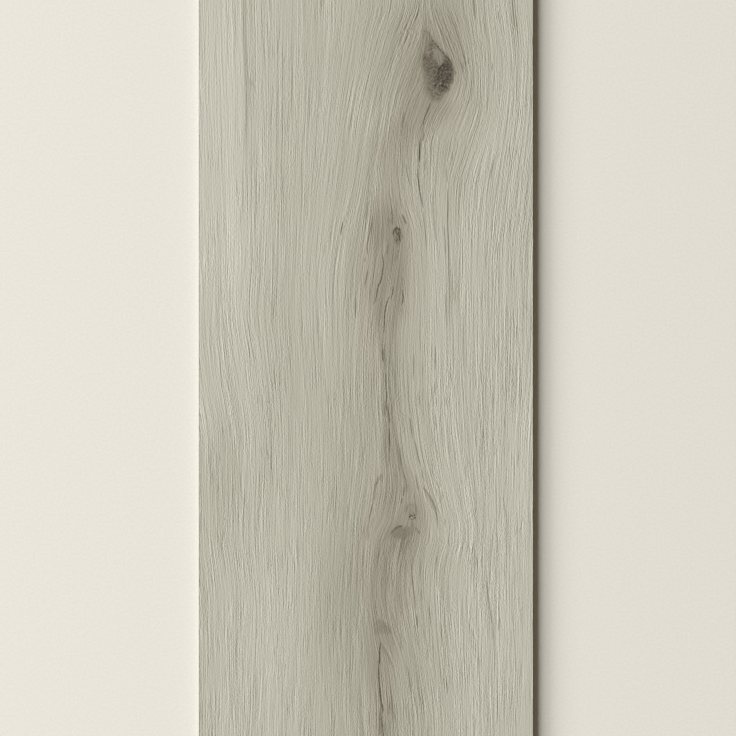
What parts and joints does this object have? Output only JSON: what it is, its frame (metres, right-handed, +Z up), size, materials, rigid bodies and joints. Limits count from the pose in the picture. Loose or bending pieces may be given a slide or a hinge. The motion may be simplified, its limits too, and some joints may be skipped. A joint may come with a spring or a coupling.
{
  "type": "vinyl floor plank",
  "caption": "Flat rectangular vinyl floor plank with a printed, grain-embossed pale grey oak face, bevelled face edges and square-cut sides, laid edge to edge as flooring.",
  "frame": {"origin": "on the underside, below the middle of the face, so the plank lies on z = 0", "axes": "+Y along the plank's length, towards the top of the picture; +X across its width, towards the picture's right; +Z up out of the printed face"},
  "size_m": [0.18, 1.22, 0.005],
  "materials": {
    "oak_print_vinyl": "matte"
  },
  "bodies": {
    "root": {"vinyl_plank": "oak_print_vinyl"}
  },
  "joints": []
}
